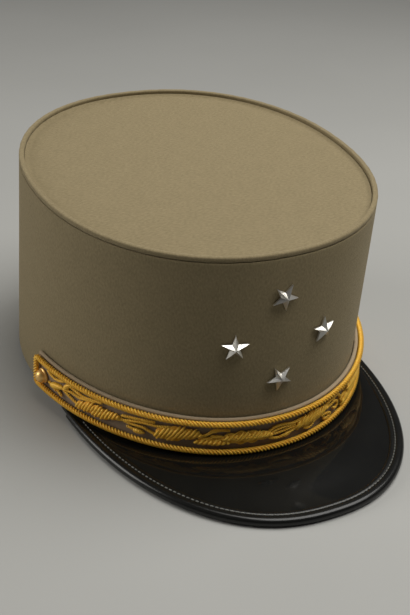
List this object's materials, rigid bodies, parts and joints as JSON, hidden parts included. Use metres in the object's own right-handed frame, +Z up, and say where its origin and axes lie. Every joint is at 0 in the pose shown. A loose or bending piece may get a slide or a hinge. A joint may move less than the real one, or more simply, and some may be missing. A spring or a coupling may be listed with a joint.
{
  "type": "kepi cap",
  "caption": "Stiff oval kepi cap in tan twill with a sunken top, a flat black patent-leather peak, a gold oak-leaf embroidered strap between domed buttons and silver stars in front.",
  "frame": {"origin": "on the surface the cap stands on, midway between the back of the base and the front of the peak", "axes": "+Z up, the front of the cap towards -Y, the wearer's left towards +X"},
  "size_m": [0.1784, 0.263, 0.1164],
  "materials": {
    "tan_cloth": "fine wool twill, matt",
    "gold_thread": "gold bullion thread and twisted cord",
    "copper_gold": "polished gilt metal",
    "patent_leather": "black patent leather, glossy",
    "silver": "polished silver metal"
  },
  "bodies": {
    "root": {"crown_wall": "tan_cloth", "crown_top": "tan_cloth", "rim_piping": "tan_cloth", "strap": "tan_cloth", "strap_piping": "tan_cloth", "border_cord": "gold_thread", "oak_embroidery": "gold_thread", "button_left": "copper_gold", "button_right": "copper_gold", "peak": "patent_leather", "peak_binding": "patent_leather", "star_top": "silver", "star_bottom": "silver", "star_left": "silver", "star_right": "silver"}
  },
  "joints": []
}
